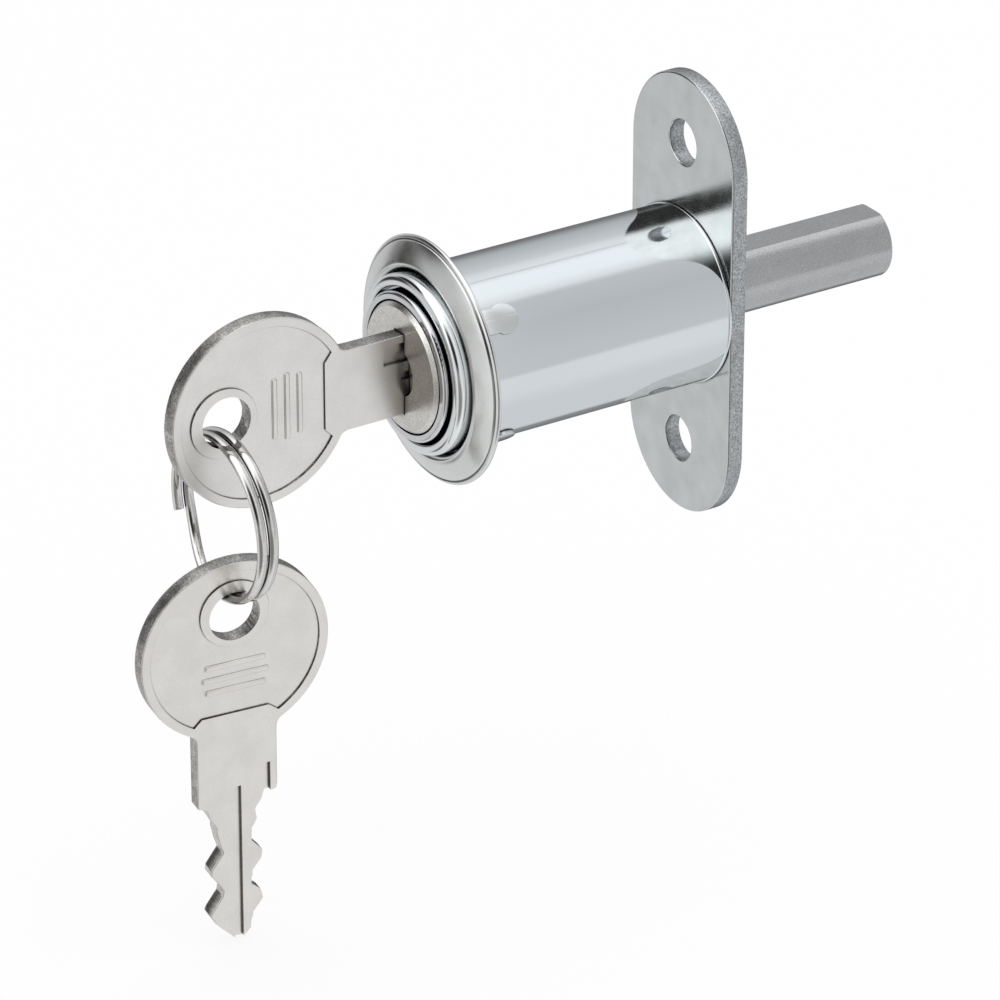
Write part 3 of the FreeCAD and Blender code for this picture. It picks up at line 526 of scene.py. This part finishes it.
FINISHES = {"tube_chrome": TUBE_CHROME, "ring_chrome": RING_CHROME, "rosette_nickel": ROSETTE_NICKEL,
            "plate_zinc": PLATE_ZINC, "rod_nickel": ROD_NICKEL, "plug_nickel": PLUG_NICKEL,
            "key_nickel": KEY_NICKEL, "wire_steel": WIRE_STEEL, "plain_steel": PLAIN_STEEL,
            "wafer_brass": WAFER_BRASS, "spring_steel": SPRING_STEEL}
for part in frame["record"]["subparts"]:
    dress(frame["nodes"][part["node"]], FINISHES[part["material_slot"]])


# Housing: tube, plate and rosette
ALONG_LOCK = (math.pi / 2, 0, 0)


def both_sides(heights):
    """A pair of heights above the lock's axis, and the same below it."""
    inner, outer = heights
    return ((inner, outer), (-outer, -inner))


def make_tube():
    """Polished tube with a rounded front lip, two latch windows below and the stakes behind."""
    outside = [(TUBE_RADIUS, TUBE_FRONT, TUBE_LIP_ROUND), (TUBE_RADIUS, BEAD_FOOT[0], 0)]
    bead = [(BEAD_RADIUS, BEAD_CREST[0], BEAD_ROUND), (BEAD_RADIUS, BEAD_CREST[1], BEAD_ROUND)]
    back = [(TUBE_RADIUS, BEAD_FOOT[1], 0), (TUBE_RADIUS, 0.0, 0), (TUBE_BORE_RADIUS, 0.0, 0)]
    inside = [(TUBE_BORE_RADIUS, TUBE_LIP_BACK, 0), (TUBE_MOUTH_RADIUS, TUBE_LIP_BACK, 0)]
    mouth = [(TUBE_MOUTH_RADIUS, TUBE_FRONT, TUBE_MOUTH_ROUND)]
    tube = turned("tube_shell", eased(mouth + outside + bead + back + inside))
    bottom, top = WINDOW_LEVELS
    for middle in WINDOW_MIDDLES:
        cut(tube, block("window", (-WINDOW_HALF_WIDTH, middle - WINDOW_HALF_LENGTH, bottom),
                        (WINDOW_HALF_WIDTH, middle + WINDOW_HALF_LENGTH, top)))
    smooth(tube)
    stakes = []
    for low, high in both_sides(STAKE_HEIGHTS):
        stake = block("stake", (-STAKE_HALF_WIDTH, STAKE_FOOT, low), (STAKE_HALF_WIDTH, STAKE_END, high))
        ease_edges(stake, STAKE_EDGE)
        stakes.append(stake)
    dress(tube, TUBE_CHROME)
    return joined(tube, *stakes)


def stadium(name, half_width, low, high, thickness, steps=96):
    """A long plate with round ends, from one circle pulled apart and thickened."""
    piece = hoop(name, half_width, 0, math.pi / steps, steps)
    for side, end in ((1, high - half_width), (-1, low + half_width)):
        bpy.ops.object.mode_set(mode="EDIT")
        bpy.ops.mesh.select_all(action="DESELECT")
        bpy.ops.object.mode_set(mode="OBJECT")
        for vertex in piece.data.vertices:
            vertex.select = vertex.co.z * side > 0
        bpy.ops.object.mode_set(mode="EDIT")
        bpy.ops.transform.translate(value=(0, 0, end * MM))
    fill()
    pull((0, thickness * MM, 0))
    settle(piece)
    return piece


def make_plate():
    """Stamped plate: broken edges, two screw holes, the bolt's flatted hole and the stakes' slots."""
    plate = stadium("back_plate", PLATE_HALF_WIDTH, PLATE_FOOT, PLATE_TOP, PLATE_THICKNESS)
    front, back = HOLE_CUT
    length = back - front
    middle = (front + back) / 2
    for height in (SCREW_HOLE_HEIGHT, -SCREW_HOLE_HEIGHT):
        cut(plate, rod("screw_hole", SCREW_HOLE_RADIUS, length, (0, middle, height), ALONG_LOCK))
    bolt_hole = rod("bolt_hole", BOLT_HOLE_RADIUS, length, (0, middle, 0), ALONG_LOCK)
    front, back = FLAT_CUT
    cut(bolt_hole, block("flat", (-FLAT_CUT_REACH, front, BOLT_HOLE_FLAT),
                         (FLAT_CUT_REACH, back, FLAT_CUT_REACH)))
    cut(plate, bolt_hole)
    front, back = SLOT_CUT
    for low, high in both_sides(SLOT_HEIGHTS):
        cut(plate, block("slot", (-SLOT_HALF_WIDTH, front, low), (SLOT_HALF_WIDTH, back, high)))
    ease_edges(plate, PLATE_EDGE_ROUND, segments=3)
    dress(plate, PLATE_ZINC, PLATE_EDGE)
    rough_sides(plate, 1)
    smooth(plate, flat_axis=1)
    return plate


def tab_outline():
    """Half tab from its wide foot to its round end, and the same again mirrored."""
    fillet_steps = 8
    end_steps = 16
    half = [(TAB_FOOT, -TAB_FOOT_HALF), (TAB_SHOULDER, -TAB_FOOT_HALF)]
    for step in range(1, fillet_steps + 1):
        angle = math.radians(90 * step / fillet_steps)
        half.append((TAB_SHOULDER + TAB_FILLET * (1 - math.cos(angle)),
                     -TAB_FOOT_HALF + TAB_FILLET * math.sin(angle)))
    for step in range(end_steps + 1):
        angle = math.radians(TAB_END_START - TAB_END_START * step / end_steps)
        half.append((TAB_END_MIDDLE + TAB_END_RADIUS * math.cos(angle), TAB_END_RADIUS * math.sin(angle)))
    return half + [(along, -across) for along, across in reversed(half[:-1])]


def make_tab(turn):
    """Spring tab of the rosette, curved round the tube and turned to its place."""
    tab = traced("tab", tab_outline(), TAB_BLANK_THICKNESS, TAB_BLANK_MIDDLE)
    shell = turned("tab_shell", [(COLLAR_INNER, TAB_SHELL_FRONT), (COLLAR_INNER, TAB_SHELL_BACK),
                                 (COLLAR_OUTER, TAB_SHELL_BACK), (COLLAR_OUTER, TAB_SHELL_FRONT)],
                   steps=ROSETTE_STEPS)
    cut(tab, shell, way="INTERSECT")
    ease_edges(tab, TAB_EDGE, angle=50)
    dress(tab, ROSETTE_NICKEL)
    smooth(tab)
    tab.data.transform(Matrix.Rotation(math.radians(turn), 4, "Y"))
    return tab


def make_rosette():
    """Dished trim of thin sheet with a rolled lip, a collar and four spring tabs."""
    profile = ROSETTE_LIP + ROSETTE_DISH + ROSETTE_RIM + ROSETTE_BACK
    trim = turned("trim_rosette", eased(profile, steps=4), steps=ROSETTE_STEPS)
    smooth(trim, angle=50)
    dress(trim, ROSETTE_NICKEL)
    for count in range(TAB_COUNT):
        trim = joined(trim, make_tab(TAB_FIRST_ANGLE + 360 / TAB_COUNT * count))
    return trim


# Keys and their ring
ACROSS_KEY = (0, math.pi / 2, 0)


def bow_arc(radius, half_opening, steps):
    """Points of a circle about the bow's middle, open towards the blade by this much each side."""
    start = math.degrees(math.asin(half_opening / radius))
    end = 360 - start
    points = []
    for step in range(steps + 1):
        angle = math.radians(start + (end - start) * step / steps)
        points.append((radius * math.cos(angle), radius * math.sin(angle)))
    return points


def key_outline():
    """Bow, neck and blade as one outline about the bow's middle."""
    outline = bow_arc(BOW_RADIUS, BOW_NECK_HALF, steps=120)
    for stretch in (NECK_LOW, BLADE_LOW, BLADE_HIGH, NECK_HIGH):
        outline += list(stretch)
    return outline


def key_field():
    """The sunk field of the bow, with its straight end towards the blade."""
    return bow_arc(BOW_RADIUS - BOW_RIM, FIELD_CORNER_HALF, steps=90) + list(FIELD_END)


def make_ribs(face):
    """Rounded grip ribs that lie across both fields of the bow, the middle one longest."""
    ribs = []
    for side in (-1, 1):
        middle = side * (face - RIB_SUNK)
        for count in range(RIB_COUNT):
            along = RIB_FIRST + count * RIB_SPACING
            long = RIB_HALF_LENGTH - RIB_STEP * abs(count - 1)
            rib = block("rib", (middle - RIB_HALF_HEIGHT, along - RIB_HALF_WIDTH, -long),
                        (middle + RIB_HALF_HEIGHT, along + RIB_HALF_WIDTH, long))
            ease_edges(rib, RIB_ROUND, segments=4)
            ribs.append(rib)
    return ribs


def make_key(name):
    """Flat stamped key: sunk bow field with a raised ring boss, ribs, grooves and cut blade."""
    face = KEY_THICKNESS / 2
    key = traced(name, key_outline(), KEY_THICKNESS)
    ease_edges(key, KEY_OUTER_EDGE, segments=3, angle=25)
    for side in (-1, 1):
        field = traced("field", key_field(), FIELD_CUT, side * face)
        cut(field, rod("boss", BOSS_RADIUS, BOSS_CUT_LENGTH,
                       (side * face, -RING_HOLE_OFFSET - BOSS_SHIFT, 0), ACROSS_KEY, KEY_HOLE_STEPS))
        cut(key, field)
    cut(key, rod("ring_hole", RING_HOLE_RADIUS, RING_HOLE_CUT_LENGTH,
                 (0, -RING_HOLE_OFFSET, 0), ACROSS_KEY, KEY_HOLE_STEPS))
    for groove, (start, low, high) in GROOVES.items():
        cut(key, block(groove, (face - GROOVE_DEPTH, start, low),
                       (face + GROOVE_CUT_SPARE, GROOVE_CUT_END, high)))
    ease_edges(key, KEY_INNER_EDGE, segments=2, angle=40)
    key = joined(key, *make_ribs(face))
    dress(key, KEY_NICKEL, KEY_SHEAR, KEY_CUT)
    rough_sides(key, 0)
    for polygon in key.data.polygons:
        if polygon.material_index == 1 and polygon.center.y > CUT_START * MM:
            polygon.material_index = 2
    smooth(key, flat_axis=0)
    key.data.transform(Matrix.Translation((0, RING_HOLE_OFFSET * MM, 0)))
    return key


def place_key(key, place, angles=(0, 0, 0)):
    """Put a finished key where it is held: yaw, pitch and roll, then the ring hole's middle."""
    yaw, pitch, roll = [math.radians(value) for value in angles]
    key.data.transform(Euler((roll, pitch, yaw), "XYZ").to_matrix().to_4x4())
    key.data.transform(Matrix.Translation([value * MM for value in place]))


def make_ring():
    """Split ring: one flattened wire wound nearly twice, which crosses over between its ends."""
    single = 360.0 - RING_CROSSING
    total = 360.0 + single
    clear()
    bpy.ops.mesh.primitive_circle_add(vertices=WIRE_SIDES, radius=MM, fill_type="NGON")
    wire = bpy.context.active_object
    wire.name = "split_ring"
    edit_all()
    bpy.ops.transform.resize(value=WIRE_HALF_SIZES)
    bpy.ops.object.mode_set(mode="OBJECT")
    wire.data.transform(Matrix.Translation((RING_RADIUS * MM, -RING_HALF_APART * MM, 0)))
    wire.data.transform(Matrix.Rotation(-math.radians(RING_START), 4, "Y"))
    edit_all()
    last = -RING_HALF_APART
    for step in range(1, WIRE_STEPS + 1):
        turned_by = total * step / WIRE_STEPS
        share = min(max((turned_by - single) / RING_CROSSING, 0.0), 1.0)
        along = RING_HALF_APART * (2 * share * share * (3 - 2 * share) - 1)
        pull((0, (along - last) * MM, 0))
        bpy.ops.transform.rotate(value=math.radians(total / WIRE_STEPS) * TURN_SENSE, orient_axis="Y",
                                 center_override=(0, 0, 0))
        last = along
    bpy.ops.object.mode_set(mode="OBJECT")
    wire.data.transform(Matrix.Translation([value * MM for value in RING_MIDDLE]))
    settle(wire)
    ease_edges(wire, WIRE_EDGE, angle=60)
    dress(wire, WIRE_STEEL)
    smooth(wire, angle=50)
    return wire


tube = make_tube()
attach(tube, "housing")
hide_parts("housing_tube")

plate = make_plate()
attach(plate, "housing")
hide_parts("mounting_plate")

rosette = make_rosette()
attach(rosette, "housing")
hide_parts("rosette")

key = make_key("flat_key")
spare = key.copy()
spare.data = key.data.copy()
spare.name = "hanging_key"
bpy.context.scene.collection.objects.link(spare)
place_key(key, KEY_HOLE)
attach(key, "key")
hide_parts("key")
place_key(spare, SPARE_HOLE, SPARE_ANGLES)
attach(spare, "spare")
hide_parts("spare_key")

ring = make_ring()
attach(ring, "ring")
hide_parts("key_ring")


# Studio: pale floor, white surroundings, one soft lamp, and a long lens
FLOOR_GAP = 0.5
FLOOR_SIZE = 4
FLOOR_COLOUR = (0.9, 0.9, 0.9)
FLOOR_ROUGHNESS = 0.9
FLOOR_GLOW_SHARE = 0.85

# Walls that the metal mirrors: how bright they are by the angle about the lock's axis, in degrees
WALLS_BEHIND = ((-180, 0.22), (-149, 0.12), (-114, 0.3), (-108, 0.70), (-60, 0.72), (-40, 0.80),
                (-20, 0.80), (-16, 0.62), (40, 0.57), (70, 0.62), (76, 0.86), (87, 1.03),
                (104, 1.05), (110, 0.95), (112, 0.62), (114, 0.9), (124, 0.8), (130, 0.68),
                (160, 0.5), (180, 0.22))
WALLS_BEFORE = ((-180, 0.6), (-150, 0.72), (-120, 0.75), (-60, 0.95), (0, 0.8), (60, 1.0),
                (80, 1.5), (120, 1.4), (150, 0.6), (180, 0.6))
TINT_BEHIND = (0.97, 1.0, 1.03)
TINT_BEFORE = (0.99, 1.0, 1.0)
WALLS_MEET = (0.30, 0.44)

# Dark cards in the room: direction, angle of full dark, angle where it ends, and how bright it is
CARDS = (((-0.752, -0.475, 0.457), 15, 25, 0.03),
         ((-0.60, -0.49, -0.63), 3, 8, 0.15),
         ((-0.88, -0.46, -0.10), 9, 16, 0.05),
         ((0.752, -0.475, 0.457), 14, 38, 0.03),
         ((0.752, -0.475, -0.457), 18, 42, 0.28))
CARD_TINT = (1, 0.95, 0.9)

# Lamp and camera, in metres and degrees
LAMP_PLACE = (0.02, 0.1, 0.5)
LAMP_AIM = (0, -0.03, -0.02)
LAMP_SIZE = 0.35
LAMP_POWER = 0.35
CAMERA_PLACE = (0.482009, -0.327177, 0.274376)
CAMERA_AZIMUTH = 57.723
CAMERA_ELEVATION = 27.213
CAMERA_ROLL = 0.055
CAMERA_LENS = 216.94
FILM_WIDTH = 36


def make_floor():
    """Pale floor under the hanging key, white to the camera but for a faint shadow."""
    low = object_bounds()[0][2] / MM - FLOOR_GAP
    clear()
    bpy.ops.mesh.primitive_plane_add(size=FLOOR_SIZE, location=(0, 0, low * MM))
    floor = bpy.context.active_object
    floor.name = "floor"
    floor.visible_glossy = False
    material = bpy.data.materials.new("floor_paper")
    material.use_nodes = True
    nodes = material.node_tree.nodes
    link = material.node_tree.links.new
    paper = nodes["Principled BSDF"]
    paper.inputs["Base Color"].default_value = (*FLOOR_COLOUR, 1)
    paper.inputs["Roughness"].default_value = FLOOR_ROUGHNESS
    glow = nodes.new("ShaderNodeEmission")
    glow.inputs["Strength"].default_value = 1.0
    path = nodes.new("ShaderNodeLightPath")
    part = nodes.new("ShaderNodeMath")
    part.operation = "MULTIPLY"
    part.inputs[1].default_value = FLOOR_GLOW_SHARE
    mix = nodes.new("ShaderNodeMixShader")
    link(path.outputs["Is Camera Ray"], part.inputs[0])
    link(part.outputs[0], mix.inputs[0])
    link(paper.outputs[0], mix.inputs[1])
    link(glow.outputs[0], mix.inputs[2])
    link(mix.outputs[0], nodes["Material Output"].inputs["Surface"])
    floor.data.materials.append(material)


def walls(tree, turn, stops, tint):
    """Grey walls all round the lock's axis, as bright as their stops say."""
    ramp = tree.nodes.new("ShaderNodeValToRGB")
    tree.links.new(turn, ramp.inputs["Fac"])
    elements = ramp.color_ramp.elements
    while len(elements) > 1:
        elements.remove(elements[-1])
    for index, (degrees, value) in enumerate(stops):
        position = (degrees + 180) / 360
        element = elements[0] if index == 0 else elements.new(position)
        element.position = position
        element.color = (*shaded(tint, value), 1)
    return ramp.outputs["Color"]


def card(tree, way, seen, middle, full, edge, value):
    """A dark card hung in one direction: fully dark within one angle, gone at the next."""
    facing = tree.nodes.new("ShaderNodeVectorMath")
    facing.operation = "DOT_PRODUCT"
    facing.inputs[1].default_value = Vector(middle).normalized()
    tree.links.new(way, facing.inputs[0])
    reach = spread(tree, facing.outputs["Value"], 0.0, 1.0, math.cos(math.radians(edge)),
                   math.cos(math.radians(full)), "SMOOTHSTEP")
    return blend(tree, reach, seen, shaded(CARD_TINT, value))


def make_surroundings():
    """White room with grey walls for the metal to mirror, which depend on the direction only."""
    world = bpy.data.worlds.new("studio")
    bpy.context.scene.world = world
    world.use_nodes = True
    tree = world.node_tree
    nodes = tree.nodes
    link = tree.links.new
    way = nodes.new("ShaderNodeTexCoord").outputs["Generated"]
    parts = nodes.new("ShaderNodeSeparateXYZ")
    link(way, parts.inputs[0])
    angle = nodes.new("ShaderNodeMath")
    angle.operation = "ARCTAN2"
    link(parts.outputs["Z"], angle.inputs[0])
    link(parts.outputs["X"], angle.inputs[1])
    turn = spread(tree, angle.outputs[0], 0.0, 1.0, -math.pi, math.pi)
    behind = walls(tree, turn, WALLS_BEHIND, TINT_BEHIND)
    before = walls(tree, turn, WALLS_BEFORE, TINT_BEFORE)
    side = spread(tree, parts.outputs["Y"], 0.0, 1.0, *WALLS_MEET, "SMOOTHSTEP")
    seen = blend(tree, side, before, behind)
    for middle, full, edge, value in CARDS:
        seen = card(tree, way, seen, middle, full, edge, value)
    mirrored = nodes["Background"]
    link(seen, mirrored.inputs["Color"])
    white = nodes.new("ShaderNodeBackground")
    white.inputs["Color"].default_value = (1, 1, 1, 1)
    path = nodes.new("ShaderNodeLightPath")
    mix = nodes.new("ShaderNodeMixShader")
    link(path.outputs["Is Glossy Ray"], mix.inputs[0])
    link(white.outputs[0], mix.inputs[1])
    link(mirrored.outputs[0], mix.inputs[2])
    link(mix.outputs[0], nodes["World Output"].inputs["Surface"])


def make_lamp():
    """One large soft lamp overhead."""
    clear()
    bpy.ops.object.light_add(type="AREA", location=LAMP_PLACE)
    lamp = bpy.context.active_object
    lamp.name = "soft_lamp"
    lamp.data.shape = "SQUARE"
    lamp.data.size = LAMP_SIZE
    lamp.data.energy = LAMP_POWER
    lamp.visible_glossy = False
    lamp.rotation_euler = (Vector(LAMP_AIM) - lamp.location).to_track_quat("-Z", "Y").to_euler()


def make_camera():
    """Long lens where the photograph was taken from, with the picture plane square to the view."""
    azimuth, elevation, roll = [math.radians(v) for v in (CAMERA_AZIMUTH, CAMERA_ELEVATION, CAMERA_ROLL)]
    back = Vector((math.sin(azimuth) * math.cos(elevation), -math.cos(azimuth) * math.cos(elevation),
                   math.sin(elevation)))
    level = Vector((math.cos(azimuth), math.sin(azimuth), 0))
    up = back.cross(level)
    right = level * math.cos(roll) + up * math.sin(roll)
    top = up * math.cos(roll) - level * math.sin(roll)
    clear()
    bpy.ops.object.camera_add()
    camera = bpy.context.active_object
    camera.name = "camera"
    turn = Matrix((right, top, back)).transposed().to_4x4()
    camera.matrix_world = Matrix.Translation(CAMERA_PLACE) @ turn
    camera.data.lens = CAMERA_LENS
    camera.data.sensor_width = FILM_WIDTH
    camera.data.clip_start = 0.01
    bpy.context.scene.camera = camera


make_floor()
make_surroundings()
make_lamp()
make_camera()
bpy.context.scene.view_settings.view_transform = "Standard"
clear()
